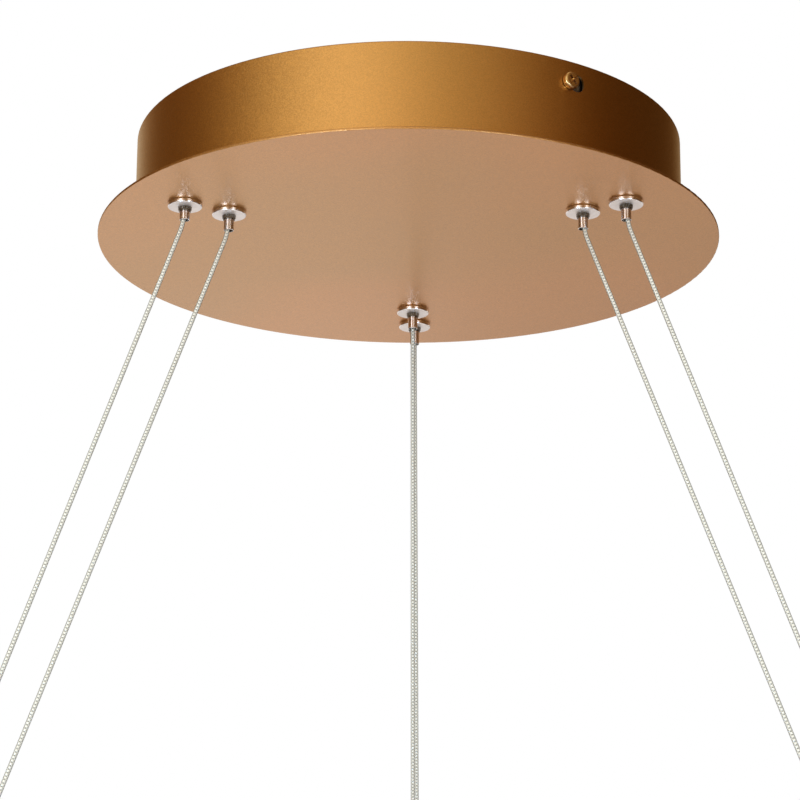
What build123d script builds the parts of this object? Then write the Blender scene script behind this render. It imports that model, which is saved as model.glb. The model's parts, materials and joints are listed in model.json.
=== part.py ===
from build123d import *
import math
import os

os.makedirs("parts", exist_ok=True)

# A round ceiling canopy that carries a pendant of rings on six thin cables, all in millimetres.
# The ceiling is the plane z = 0 and the canopy hangs below it, centred on the Z axis. Azimuths are
# measured from +X towards +Y, so the side that faces a person in front of the lamp is at 270 degrees.
# A steel bracket is screwed to the ceiling. The canopy, a drum closed by a wider disc, hooks onto two
# screws in the bracket by keyholes in the drum. Each cable runs through a gripping gland in the disc.

# Gaps and cuts used all over
fit_gap = 0.05
loose_gap = 0.3
bolt_gap = 0.25
overrun = 1.0

# Metric screws, nuts and washers
m4_radius = 2.0
m4_nut_width = 7.0
m4_nut_height = 3.2
m4_washer_radius = 4.5
m3_radius = 1.5
m3_nut_width = 5.5
m3_nut_height = 2.4
washer_thickness = 0.8
stud_end = 1.8

# Canopy drum and disc
canopy_height = 49.8
ceiling_gap = 0.5
disc_diameter = 300.0
disc_thickness = 1.2
disc_edge_round = 0.35
shell_diameter = 264.6
shell_wall = 1.0
shell_edge_round = 0.7
shell_inner_round = 0.2

# Lugs that are welded inside the drum and bolted to the disc
lug_count = 3
lug_azimuth = 100.0
lug_width = 16.0
lug_sheet = 1.5
lug_foot = 18.0
lug_leg = 14.0
lug_bend = 1.0

# Ceiling bracket: a channel of sheet steel with its ends turned down
bracket_azimuth = 303.5
bracket_width = 25.0
bracket_sheet = 1.5
bracket_bend = 1.0
bracket_rib_height = 5.0
bracket_rib_length = 180.0
tab_gap = 1.7
tab_drop = 24.0
tab_corner = 4.0
ceiling_hole_radius = 2.75
ceiling_hole_spacing = 100.0
ceiling_slot_length = 14.0
ceiling_slot_spacing = 52.0
bush_hole_radius = 6.0
bush_bore_radius = 4.0
bush_flange_radius = 8.5
bush_flange_height = 1.5

# Lock screws and the keyholes that hook over them
screw_drop = 10.2
screw_head_radius = 4.0
screw_head_height = 2.6
screw_head_round = 1.1
screw_length = 12.0
screw_tip = 0.6
recess_width = 1.1
recess_span = 4.8
recess_depth = 1.7
recess_taper = 8.0
recess_turn_angle = 41.0
key_offset = 4.0

# Cable glands, their places and how far each gripping tube hangs out
inner_gland_radius = 96.0
gland_spacing = 22.8
outer_gland_radius = inner_gland_radius + gland_spacing
tube_reach = 7.4
reach_shares = {
    "left_outer": 0.85,
    "left_inner": 1.0,
    "right_inner": 1.0,
    "right_outer": 1.0,
    "rear_inner": 1.1,
    "rear_outer": 1.22,
}

# Gland body: flange below the disc, threaded neck above it, a cone inside for the gripping balls
flange_radius = 8.15
flange_thickness = 2.1
flange_round = 0.6
neck_radius = 5.0
neck_height = 16.0
ring_bore_radius = 3.0
ring_bore_depth = 2.5
cone_low_radius = 2.55
cone_low_level = 1.5
cone_high_radius = 3.75
cone_high_level = 10.0

# Knurled ring that closes the gland body from below
ring_radius = 3.15
ring_height = 1.5
ring_peg_height = 2.2
ring_chamfer = 0.25
ring_step_radius = 2.8
ring_step_height = 0.6
knurl_count = 20
knurl_depth = 0.22

# Washer and lock nut above the disc
gland_washer_radius = 9.0
gland_nut_width = 14.0
gland_nut_height = 3.0

# Gripping tube, balls and spring
tube_radius = 2.38
tube_bore_radius = 1.7
tube_gap = 0.08
tube_lip = 0.15
mouth_bore_radius = 2.1
mouth_bore_depth = 1.5
head_radius = 2.85
head_low = 6.0
head_height = 1.2
ball_radius = 0.8
ball_count = 3
ball_level = 3.6
press_travel = 2.5
spring_wire_radius = 0.2
spring_radius = 2.25
spring_turns = 5
spring_end_gap = 0.05

# Cap that closes the gland body from above
cap_plug_height = 2.5
cap_height = 1.3
cap_hole_radius = 1.35

# Suspension cables: radius, the arc at the tube's mouth, and the level where their fittings begin
cable_radius = 1.1
mouth_arc_radius = 11.0
fitting_level = -348.0

# Azimuth of each pair of glands; the rear outer one stands a little off its pair
left_gland_azimuth = 208.5
right_gland_azimuth = 328.5
rear_gland_azimuth = 88.5
rear_outer_gland_azimuth = 88.3

# Radius and azimuth of each gland, then the angle of its cable from the vertical and the azimuth it leans to
gland_places = {
    "left_outer": (outer_gland_radius, left_gland_azimuth),
    "left_inner": (inner_gland_radius, left_gland_azimuth),
    "right_inner": (inner_gland_radius, right_gland_azimuth),
    "right_outer": (outer_gland_radius, right_gland_azimuth),
    "rear_inner": (inner_gland_radius, rear_gland_azimuth),
    "rear_outer": (outer_gland_radius, rear_outer_gland_azimuth),
}
cable_angles = {
    "left_outer": (19.95, 209.2),
    "left_inner": (20.45, 209.2),
    "right_inner": (21.35, 329.2),
    "right_outer": (20.9, 329.2),
    "rear_inner": (20.6, 89.2),
    "rear_outer": (20.6, 88.5),
}

# Fitting at each cable's low end: a crimped sleeve, then a threaded stud for the ring
sleeve_radius = 2.7
sleeve_length = 16.0
sleeve_chamfer = 0.5
sleeve_cable_depth = 6.0
sleeve_stud_depth = 5.0
crimp_depth = 0.25
crimp_width = 1.2
crimp_pitch = 2.4
crimp_count = 2
stud_collar_width = 6.0
stud_collar_height = 3.0
ring_stud_length = 12.0
ring_stud_tip = 0.6

# Tails of the cables above the glands: four end in a stop, the two rear ones feed the rings
tail_rise = 30.0
stop_radius = 2.0
stop_length = 8.0
stop_gap = 2.0
stop_chamfer = 0.3
feed_rise = 34.0
feed_drop_out = 18.0
feed_drop_step = 7.0

# Terminal strips: mains strip beside the driver, output strip between the driver and the rear glands
strip_pitch = 12.0
strip_depth = 18.0
strip_height = 12.0
strip_hole_radius = 1.9
strip_hole_level = 6.0
strip_well_radius = 2.05
strip_well_depth = 3.8
strip_round = 0.8
strip_wire_depth = 4.0
strip_screw_radius = 1.8
strip_screw_height = 2.6
strip_slot_width = 0.6
strip_slot_depth = 0.8
mains_strip_poles = 3
mains_strip_x = -45.0
mains_strip_y = 40.0
output_strip_poles = 2
output_strip_x = 20.0
output_strip_y = 52.0

# Earth stud and its ring terminal
earth_stud_out = 39.0
earth_ring_radius = 4.2
earth_ring_thickness = 0.8
earth_barrel_radius = 2.1
earth_barrel_length = 6.0
earth_barrel_start = 5.2
earth_tongue_width = 3.4

# Driver: a closed case with a circuit board, and a lug at each end
driver_x = 0.0
driver_y = -10.0
driver_length = 150.0
driver_width = 44.0
driver_height = 24.0
driver_wall = 1.8
driver_round = 2.0
driver_lug_length = 12.0
driver_lug_width = 14.0
driver_lug_height = 2.5
lid_thickness = 1.8
lid_round = 0.6
lid_lip_height = 2.0
lid_lip_wall = 1.2
ledge_width = 2.0
ledge_height = 3.5
board_gap = 0.3
board_thickness = 1.6
driver_terminal_depth = 11.0
driver_terminal_width = 22.0
driver_terminal_height = 10.0
driver_terminal_pitch = 10.0
driver_terminal_level = 5.0

# Pieces on the driver's board
transformer_x = -14.0
transformer_length = 26.0
transformer_width = 22.0
transformer_height = 14.0
core_leg = 9.0
core_side = 4.5
core_yoke = 3.0
winding_overhang = 2.0
capacitor_radius = 5.0
capacitor_height = 13.5
capacitor_round = 0.5
capacitor_places_share = ((-0.7, 0.45), (-0.7, -0.45), (0.62, 0.5))
choke_x = 16.0
choke_radius = 6.5
choke_wire_radius = 2.9
heat_sink_x = 34.0
heat_sink_length = 14.0
heat_sink_thickness = 2.0
heat_sink_height = 13.0
heat_sink_foot = 7.0

# Leads inside the canopy: wire sizes and the corners of their routes
mains_wire_radius = 1.2
output_wire_radius = 1.3
live_corner_out = 26.0
neutral_corner_out = 18.0
outer_output_corner_out = 26.0
inner_output_corner_out = 16.0
outer_output_corner_back = 15.0
inner_output_corner_back = 23.0
earth_bend_low_out = 23.0
earth_bend_high_out = 15.0
arc_share = 0.45

# Levels and radii that follow from the sizes above
shell_top = -ceiling_gap
disc_low = shell_top - canopy_height
disc_top = disc_low + disc_thickness
shell_outer = shell_diameter / 2
shell_inner = shell_outer - shell_wall
tab_face = shell_inner - tab_gap
lock_screw_level = shell_top - screw_drop
lug_stud_radius = shell_inner - lug_sheet - (lug_foot - lug_sheet) / 2
spigot_radius = ring_bore_radius - fit_gap
neck_top = disc_thickness + neck_height
head_top = head_low + head_height
cap_plug_low = neck_top - cap_plug_height
cap_top = neck_top + cap_height
twist_range = math.degrees(math.asin(key_offset / shell_outer))
strip_hole_z = disc_top + strip_hole_level
driver_lug_x = driver_length / 2 + driver_lug_length / 2
board_low = disc_top + driver_wall + ledge_height
board_top = board_low + board_thickness
driver_hole_z = board_top + driver_terminal_level
driver_left = driver_x - driver_length / 2
driver_right = driver_x + driver_length / 2
output_strip_front = output_strip_y - strip_depth / 2
earth_stud_x = mains_strip_x - earth_stud_out

low_align = (Align.CENTER, Align.CENTER, Align.MIN)
high_align = (Align.CENTER, Align.CENTER, Align.MAX)


def radial(azimuth, radius=0.0, z=0.0):
    """A place whose own X axis points away from the Z axis at this azimuth."""
    angle = math.radians(azimuth)
    return Location((radius * math.cos(angle), radius * math.sin(angle), z), (0, 0, azimuth))


def gland_place(name, z=disc_low):
    radius, azimuth = gland_places[name]
    return radial(azimuth, radius, z)


def turned(*points):
    """A solid of revolution about Z from an outline of (radius, height) points."""
    return revolve(Plane.XZ * make_face(Polyline(*points, close=True)), Axis.Z)


def disc_plate(radius, hole_radius, thickness):
    """A flat ring that stands on z = 0."""
    plate = Cylinder(radius, thickness, align=low_align)
    return plate - Cylinder(hole_radius, thickness * 2 + overrun)


def hex_nut(width, height, hole_radius):
    """A hexagon nut on z = 0 whose corners are turned away by a cone at both faces."""
    blank = extrude(RegularPolygon(width / 2, 6, major_radius=False), height)
    corner_radius = width / math.sqrt(3)
    round_blank = Cylinder(corner_radius, height, align=low_align)
    round_blank = chamfer(round_blank.edges().filter_by(GeomType.CIRCLE), corner_radius - width / 2)
    return (blank & round_blank) - Cylinder(hole_radius, height * 2 + overrun)


def fitting_arcs(points):
    """For each corner of a route, the radius that uses the same share of the shorter run beside it."""
    corners = [Vector(p) for p in points]
    radii = []
    for before, here, after in zip(corners, corners[1:], corners[2:]):
        turn = (here - before).get_angle(after - here)
        shorter = min((here - before).length, (after - here).length)
        radii.append(arc_share * shorter / math.tan(math.radians(turn) / 2))
    return radii


def wire_along(name, points, radius, radii):
    """A round wire along straight runs joined by tangent arcs, checked against its own length."""
    path = FilletPolyline(*points, radius=radii)
    section = Plane(origin=path @ 0, z_dir=path % 0) * Circle(radius)
    wire = sweep(section, path=path)
    expected = math.pi * radius * radius * path.length
    radii_text = ", ".join(f"{r:.1f}" for r in radii)
    print(f"{name}: length {path.length:.1f}, radii {radii_text}, volume share {wire.volume / expected:.4f}")
    return wire


def helix_wire(radius, wire_radius, low, high, turns):
    """A spring of round wire: each quarter turn is two arcs that keep the helix's direction."""
    quarters = turns * 4
    rise = (high - low) / quarters
    slope = rise / (radius * math.pi / 2)

    def on_helix(i):
        angle = math.radians(90 * i)
        place = Vector(radius * math.cos(angle), radius * math.sin(angle), low + rise * i)
        heading = Vector(-math.sin(angle), math.cos(angle), slope).normalized()
        return place, heading

    arcs = []
    for i in range(quarters):
        start, start_heading = on_helix(i)
        end, end_heading = on_helix(i + 1)
        chord = end - start
        both = start_heading + end_heading
        spread = 1 - start_heading.dot(end_heading)
        along = chord.dot(both)
        reach = (math.sqrt(along * along + 2 * spread * chord.dot(chord)) - along) / (2 * spread)
        leave = start + start_heading * reach
        arrive = end - end_heading * reach
        middle = (leave + arrive) * 0.5
        arcs.append(TangentArc(start, middle, tangent=start_heading))
        arcs.append(TangentArc(middle, end, tangent=(arrive - leave).normalized()))
    path = Wire([arc.edge() for arc in arcs])
    spots = [path @ (i / (quarters * 6)) for i in range(quarters * 6 + 1)]
    half_turn = 12
    pairs = [(a, b) for i, a in enumerate(spots) for b in spots[i + half_turn:]]
    least = min((b - a).length for a, b in pairs) - 2 * wire_radius
    print(f"spring: least gap to itself {least:.2f}")
    section = Plane(origin=path @ 0, z_dir=path % 0) * Circle(wire_radius)
    return sweep(section, path=path)


def write(name, *solids):
    """One STEP file for the node, with each solid kept separate."""
    flat = [s for item in solids for s in item.solids()]
    shape = flat[0] if len(flat) == 1 else Compound(flat)
    export_step(shape, f"parts/{name}.step")


# Ceiling bracket
def make_bracket():
    half = tab_face
    inner_half = half - bracket_sheet
    outline = Polyline(
        (-half, -tab_drop),
        (-half, 0),
        (half, 0),
        (half, -tab_drop),
        (inner_half, -tab_drop),
        (inner_half, -bracket_sheet),
        (-inner_half, -bracket_sheet),
        (-inner_half, -tab_drop),
        close=True,
    )
    profile = make_face(outline)
    outer_corners = profile.vertices().filter_by(lambda v: v.Y > -bracket_sheet / 2)
    profile = fillet(outer_corners, bracket_bend + bracket_sheet)
    inner_corners = profile.vertices().filter_by(
        lambda v: abs(v.Y + bracket_sheet) < fit_gap and abs(abs(v.X) - inner_half) < fit_gap
    )
    profile = fillet(inner_corners, bracket_bend)
    strap = extrude(Plane.XZ * profile, bracket_width / 2, both=True)
    low_corners = strap.edges().filter_by(Axis.X).group_by(Axis.Z)[0]
    strap = fillet(low_corners, tab_corner)
    rib = Box(bracket_rib_length, bracket_sheet, bracket_rib_height, align=high_align)
    for side in (-1, 1):
        strap += Pos(0, side * (bracket_width - bracket_sheet) / 2, -bracket_sheet) * rib
    depth = bracket_sheet * 2 + overrun
    strap -= Cylinder(bush_hole_radius, depth)
    hole = Cylinder(ceiling_hole_radius, depth)
    slot = extrude(SlotOverall(ceiling_slot_length, 2 * ceiling_hole_radius), depth, both=True)
    for side in (-1, 1):
        strap -= Pos(side * ceiling_hole_spacing / 2, 0, 0) * hole
        strap -= Pos(side * ceiling_slot_spacing / 2, 0, 0) * slot
    cross_hole = Cylinder(m4_radius + bolt_gap, 2 * half + overrun)
    strap -= Pos(0, 0, lock_screw_level) * Rot(0, 90, 0) * cross_hole
    return radial(bracket_azimuth) * strap


def make_bush():
    """The rubber bush that guards the supply cable in the bracket's middle hole."""
    body_radius = bush_hole_radius - fit_gap
    low = -bracket_sheet - bush_flange_height
    return turned(
        (bush_bore_radius, 0),
        (body_radius, 0),
        (body_radius, -bracket_sheet),
        (bush_flange_radius, -bracket_sheet),
        (bush_flange_radius, low),
        (bush_bore_radius, low),
    )


def both_ends(piece):
    """The piece at both ends of the bracket."""
    return [radial(bracket_azimuth + turn) * piece for turn in (0, 180)]


def make_tab_nuts():
    nut = Box(m4_nut_height, m4_nut_width, m4_nut_width)
    nut -= Rot(0, 90, 0) * Cylinder(m4_radius + fit_gap, m4_nut_height + overrun)
    return both_ends(Pos(tab_face - bracket_sheet - m4_nut_height / 2, 0, lock_screw_level) * nut)


def make_lock_screws():
    head = Cylinder(screw_head_radius, screw_head_height, align=low_align)
    head = fillet(head.edges().sort_by(Axis.Z)[-1], screw_head_round)
    wing = Rectangle(recess_span, recess_width) + Rectangle(recess_width, recess_span)
    wing = Rot(0, 0, recess_turn_angle) * wing
    recess = Pos(0, 0, screw_head_height) * extrude(wing, -recess_depth, taper=recess_taper)
    shank = Cylinder(m4_radius, screw_length, align=high_align)
    shank = chamfer(shank.edges().sort_by(Axis.Z)[0], screw_tip)
    screw = head - recess + shank
    return both_ends(Pos(shell_outer + loose_gap, 0, lock_screw_level) * Rot(0, 90, 0) * screw)


# Canopy drum and disc
def keyhole_cut():
    """A round entry beside a narrow slot, cut inwards at azimuth 0."""
    entry_radius = screw_head_radius + loose_gap
    slot_radius = m4_radius + loose_gap
    outline = Circle(slot_radius)
    outline += Pos(key_offset / 2, 0) * Rectangle(key_offset, 2 * slot_radius)
    outline += Pos(key_offset, 0) * Circle(entry_radius)
    plane = Plane(origin=(shell_outer, 0, lock_screw_level), x_dir=(0, 1, 0), z_dir=(1, 0, 0))
    return extrude(plane * outline, shell_wall * 2 + overrun, both=True)


def make_shell():
    height = shell_top - disc_top
    drum = Cylinder(shell_outer, height, align=low_align)
    drum -= Cylinder(shell_inner, height * 2 + overrun)
    inner_rim, outer_rim = drum.edges().filter_by(GeomType.CIRCLE).group_by(Axis.Z)[-1].sort_by(SortBy.RADIUS)
    drum = fillet(inner_rim, shell_inner_round)
    outer_rim = drum.edges().filter_by(GeomType.CIRCLE).group_by(Axis.Z)[-1].sort_by(SortBy.RADIUS)[-1]
    drum = fillet(outer_rim, shell_edge_round)
    drum = Pos(0, 0, disc_top) * drum
    for cut in both_ends(keyhole_cut()):
        drum -= cut
    return drum


def make_disc():
    plate = Cylinder(disc_diameter / 2, disc_thickness, align=low_align)
    plate = fillet(plate.edges().filter_by(GeomType.CIRCLE), disc_edge_round)
    plate = Pos(0, 0, disc_low) * plate
    hole = Cylinder(neck_radius + fit_gap, disc_thickness * 2 + overrun)
    for name in gland_places:
        plate -= gland_place(name) * hole
    return plate


def lug_azimuths():
    return [lug_azimuth + 360 / lug_count * i for i in range(lug_count)]


def make_lugs():
    """An angle of sheet rolled to the drum's inside, its foot flat on the disc."""
    outline = make_face(
        Polyline(
            (shell_inner - lug_foot, disc_top),
            (shell_inner, disc_top),
            (shell_inner, disc_top + lug_leg),
            (shell_inner - lug_sheet, disc_top + lug_leg),
            (shell_inner - lug_sheet, disc_top + lug_sheet),
            (shell_inner - lug_foot, disc_top + lug_sheet),
            close=True,
        )
    )
    elbow = outline.vertices().filter_by(
        lambda v: abs(v.X - shell_inner + lug_sheet) < fit_gap and abs(v.Y - disc_top - lug_sheet) < fit_gap
    )
    outline = fillet(elbow, lug_bend)
    spread = math.degrees(lug_width / shell_inner)
    lug = Rot(0, 0, -spread / 2) * revolve(Plane.XZ * outline, Axis.Z, revolution_arc=spread)
    hole = Pos(lug_stud_radius, 0, disc_top) * Cylinder(m4_radius + bolt_gap, lug_sheet * 2 + overrun)
    lug -= hole
    return [radial(azimuth) * lug for azimuth in lug_azimuths()]


# Weld studs on the disc, with their washers and nuts
def m4_stud_places():
    """(place, height of what each stud clamps) for every M4 stud on the disc."""
    places = [(radial(a, lug_stud_radius, disc_top), lug_sheet) for a in lug_azimuths()]
    for side in (-1, 1):
        places.append((Pos(driver_x + side * driver_lug_x, driver_y, disc_top), driver_lug_height))
    places.append((Pos(earth_stud_x, mains_strip_y - strip_pitch, disc_top), earth_ring_thickness))
    return places


def m3_stud_places():
    """The fixing stud of each gap between two poles of the terminal strips."""
    places = []
    for y in strip_gaps(mains_strip_poles):
        places.append(Pos(mains_strip_x, mains_strip_y + y, disc_top))
    for x in strip_gaps(output_strip_poles):
        places.append(Pos(output_strip_x + x, output_strip_y, disc_top))
    return places


def make_studs():
    studs = []
    for place, held in m4_stud_places():
        height = held + washer_thickness + m4_nut_height + stud_end
        studs.append(place * Cylinder(m4_radius, height, align=low_align))
    for place in m3_stud_places():
        height = strip_height + m3_nut_height + stud_end
        studs.append(place * Cylinder(m3_radius, height, align=low_align))
    return studs


def make_stud_washers():
    washer = disc_plate(m4_washer_radius, m4_radius + bolt_gap, washer_thickness)
    return [place * Pos(0, 0, held) * washer for place, held in m4_stud_places()]


def make_stud_nuts():
    m4_nut = hex_nut(m4_nut_width, m4_nut_height, m4_radius + fit_gap)
    m3_nut = hex_nut(m3_nut_width, m3_nut_height, m3_radius + fit_gap)
    nuts = [place * Pos(0, 0, held + washer_thickness) * m4_nut for place, held in m4_stud_places()]
    nuts += [place * Pos(0, 0, strip_height) * m3_nut for place in m3_stud_places()]
    return nuts


# Cable glands
def at_glands(piece):
    return [gland_place(name) * piece for name in gland_places]


def make_gland_bodies():
    body = turned(
        (ring_bore_radius, -flange_thickness),
        (flange_radius, -flange_thickness),
        (flange_radius, 0),
        (neck_radius, 0),
        (neck_radius, neck_top),
        (cone_high_radius, neck_top),
        (cone_high_radius, cone_high_level),
        (cone_low_radius, cone_low_level),
        (cone_low_radius, ring_bore_depth - flange_thickness),
        (ring_bore_radius, ring_bore_depth - flange_thickness),
    )
    rim = body.edges().filter_by(GeomType.CIRCLE).filter_by(lambda e: e.radius > flange_radius - fit_gap)
    return at_glands(fillet(rim, flange_round))


def make_gland_rings():
    """The knurled ring: a peg pressed up into the flange, a milled edge below it and a narrow nose."""
    bore = tube_radius + tube_gap
    low = -flange_thickness - ring_height
    ring = turned(
        (bore, low - ring_step_height),
        (ring_step_radius, low - ring_step_height),
        (ring_step_radius, low),
        (ring_radius - ring_chamfer, low),
        (ring_radius, low + ring_chamfer),
        (ring_radius, -flange_thickness),
        (spigot_radius, -flange_thickness),
        (spigot_radius, ring_peg_height - flange_thickness),
        (bore, ring_peg_height - flange_thickness),
    )
    groove_side = knurl_depth * math.sqrt(2)
    groove = Rot(0, 0, 45) * Box(groove_side, groove_side, ring_height * 2)
    for i in range(knurl_count):
        ring -= radial(360 / knurl_count * i, ring_radius, low) * groove
    return at_glands(ring)


def make_gland_caps():
    plug_radius = cone_high_radius - fit_gap
    cap = turned(
        (cap_hole_radius, cap_plug_low),
        (plug_radius, cap_plug_low),
        (plug_radius, neck_top),
        (neck_radius, neck_top),
        (neck_radius, cap_top),
        (cap_hole_radius, cap_top),
    )
    return at_glands(cap)


def make_gland_washers():
    washer = disc_plate(gland_washer_radius, neck_radius + fit_gap, washer_thickness)
    return at_glands(Pos(0, 0, disc_thickness) * washer)


def make_gland_nuts():
    nut = hex_nut(gland_nut_width, gland_nut_height, neck_radius + fit_gap)
    return at_glands(Pos(0, 0, disc_thickness + washer_thickness) * nut)


def mouth_level(name):
    """Height of the gripping tube's mouth, measured from the disc's underside."""
    return -flange_thickness - tube_reach * reach_shares[name]


def make_plunger(name):
    """The gripping tube with its head, and the balls it carries in three windows."""
    mouth = mouth_level(name)
    tube = turned(
        (mouth_bore_radius, mouth),
        (tube_radius - tube_lip, mouth),
        (tube_radius, mouth + tube_lip),
        (tube_radius, head_low),
        (head_radius, head_low),
        (head_radius, head_top),
        (tube_bore_radius, head_top),
        (tube_bore_radius, mouth + mouth_bore_depth),
        (mouth_bore_radius, mouth + mouth_bore_depth),
    )
    window = Rot(0, 90, 0) * Cylinder(ball_radius + fit_gap, tube_radius + overrun, align=low_align)
    balls = []
    for i in range(ball_count):
        place = radial(360 / ball_count * i, 0, ball_level)
        tube -= place * window
        balls.append(place * Pos(cable_radius + ball_radius + fit_gap, 0, 0) * Sphere(ball_radius))
    return [gland_place(name) * piece for piece in [tube] + balls]


def make_spring(name, spring):
    return gland_place(name) * spring


# Suspension cables
def lean_direction(name):
    lean, azimuth = (math.radians(angle) for angle in cable_angles[name])
    return Vector(math.sin(lean) * math.cos(azimuth), math.sin(lean) * math.sin(azimuth), -math.cos(lean))


def mouth_point(name):
    return Vector(*gland_place(name, disc_low + mouth_level(name)).position)


def fitting_point(name):
    """Where the cable goes into its sleeve."""
    mouth = mouth_point(name)
    direction = lean_direction(name)
    return mouth + direction * ((fitting_level - mouth.Z) / direction.Z)


def cable_route(name):
    """From inside the gland down to the tube's mouth, then straight to the bottom of the sleeve's bore."""
    start = Vector(*gland_place(name).position)
    end = fitting_point(name) + lean_direction(name) * (sleeve_cable_depth - fit_gap)
    return [start, mouth_point(name), end]


def at_fittings(piece):
    """The piece on every cable's low end, its Z axis along the cable and away from the canopy."""
    return [Plane(origin=fitting_point(n), z_dir=lean_direction(n)).location * piece for n in gland_places]


def make_sleeves():
    sleeve = Cylinder(sleeve_radius, sleeve_length, align=low_align)
    sleeve = chamfer(sleeve.edges().filter_by(GeomType.CIRCLE), sleeve_chamfer)
    cable_bore = Cylinder(cable_radius + fit_gap, sleeve_cable_depth + overrun, align=low_align)
    sleeve -= Pos(0, 0, -overrun) * cable_bore
    stud_bore = Cylinder(m4_radius + fit_gap, sleeve_stud_depth + overrun, align=low_align)
    sleeve -= Pos(0, 0, sleeve_length - sleeve_stud_depth) * stud_bore
    groove = disc_plate(sleeve_radius + overrun, sleeve_radius - crimp_depth, crimp_width)
    for i in range(crimp_count):
        sleeve -= Pos(0, 0, crimp_pitch * (i + 1) - crimp_width / 2) * groove
    return at_fittings(sleeve)


def make_ring_studs():
    """A threaded stud screwed into the sleeve, with a hexagon collar that the ring is pulled against."""
    collar_low = sleeve_length
    peg = Cylinder(m4_radius, sleeve_stud_depth - fit_gap, align=high_align)
    shank = Cylinder(m4_radius, stud_collar_height + ring_stud_length, align=low_align)
    shank = chamfer(shank.edges().sort_by(Axis.Z)[-1], ring_stud_tip)
    collar = extrude(RegularPolygon(stud_collar_width / 2, 6, major_radius=False), stud_collar_height)
    return at_fittings(Pos(0, 0, collar_low) * (peg + shank + collar))


# Cable tails above the glands
feed_names = ("rear_inner", "rear_outer")
short_names = tuple(name for name in gland_places if name not in feed_names)


def make_short_tails():
    tail = Cylinder(cable_radius, tail_rise, align=low_align)
    return [gland_place(name) * tail for name in short_names]


def make_tail_stops():
    """A crimped stop on each short tail, just above the gland's cap."""
    stop = Cylinder(stop_radius, stop_length, align=low_align)
    stop = chamfer(stop.edges().filter_by(GeomType.CIRCLE), stop_chamfer)
    stop -= Cylinder(cable_radius + fit_gap, stop_length * 2 + overrun)
    return [gland_place(name) * Pos(0, 0, cap_top + stop_gap) * stop for name in short_names]


def make_feed_tails():
    """The rear cables go on over to the output strip and into its poles."""
    tails = []
    for i, name in enumerate(feed_names):
        start = Vector(*gland_place(name).position)
        pole_x = output_strip_x + strip_poles(output_strip_poles)[i]
        drop_y = inner_gland_radius - feed_drop_out + feed_drop_step * i
        high = disc_low + feed_rise
        entry_y = output_strip_y + strip_depth / 2 - strip_wire_depth
        route = [
            start,
            (start.X, start.Y, high),
            (pole_x, drop_y, high),
            (pole_x, drop_y, strip_hole_z),
            (pole_x, entry_y, strip_hole_z),
        ]
        tails.append(wire_along(f"feed tail {name}", route, cable_radius, fitting_arcs(route)))
    return tails


# Terminal strips
def strip_poles(count):
    return [strip_pitch * (i - (count - 1) / 2) for i in range(count)]


def strip_gaps(count):
    return [strip_pitch * (i - (count - 2) / 2) for i in range(count - 1)]


def make_strip(count):
    """A strip with its poles in line along Y, wires through it along X and screws from above."""
    body = Box(strip_depth, strip_pitch * count, strip_height, align=low_align)
    body = fillet(body.edges().filter_by(Axis.Z), strip_round)
    body = fillet(body.edges().group_by(Axis.Z)[-1], strip_round)
    hole = Pos(0, 0, strip_hole_level) * Rot(0, 90, 0) * Cylinder(strip_hole_radius, strip_depth + overrun)
    well = Cylinder(strip_well_radius, strip_well_depth + overrun, align=high_align)
    for y in strip_poles(count):
        body -= Pos(0, y, 0) * hole
        for side in (-1, 1):
            body -= Pos(side * strip_depth / 4, y, strip_height + overrun) * well
    for y in strip_gaps(count):
        body -= Pos(0, y, 0) * Cylinder(m3_radius + bolt_gap, strip_height * 2 + overrun)
    return body


def strip_screws(count):
    screw = Cylinder(strip_screw_radius, strip_screw_height, align=low_align)
    slot = Box(2 * strip_screw_radius + overrun, strip_slot_width, 2 * strip_slot_depth)
    screw -= Pos(0, 0, strip_screw_height) * slot
    base = strip_height - strip_well_depth + fit_gap
    return [
        Pos(side * strip_depth / 4, y, base) * screw
        for y in strip_poles(count)
        for side in (-1, 1)
    ]


mains_strip_place = Pos(mains_strip_x, mains_strip_y, disc_top)
output_strip_place = Pos(output_strip_x, output_strip_y, disc_top) * Rot(0, 0, -90)


def make_terminal_screws():
    screws = [mains_strip_place * screw for screw in strip_screws(mains_strip_poles)]
    return screws + [output_strip_place * screw for screw in strip_screws(output_strip_poles)]


# Driver
def make_driver_case():
    outer = Box(driver_length, driver_width, driver_height - lid_thickness, align=low_align)
    outer = fillet(outer.edges().filter_by(Axis.Z), driver_round)
    inner_length = driver_length - 2 * driver_wall
    inner_width = driver_width - 2 * driver_wall
    case = outer - Pos(0, 0, driver_wall) * Box(inner_length, inner_width, driver_height, align=low_align)
    for side in (-1, 1):
        ledge = Box(inner_length, ledge_width, ledge_height, align=low_align)
        case += Pos(0, side * (inner_width - ledge_width) / 2, driver_wall) * ledge
        lug = Box(driver_lug_length, driver_lug_width, driver_lug_height, align=low_align)
        lug -= Cylinder(m4_radius + bolt_gap, driver_lug_height * 2 + overrun)
        case += Pos(side * driver_lug_x, 0, 0) * lug
        opening = Box(
            2 * driver_wall + overrun,
            driver_terminal_width + 2 * board_gap,
            driver_terminal_height + 2 * board_gap,
            align=low_align,
        )
        case -= Pos(side * driver_length / 2, 0, board_top - board_gap - disc_top) * opening
    return Pos(driver_x, driver_y, disc_top) * case


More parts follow.
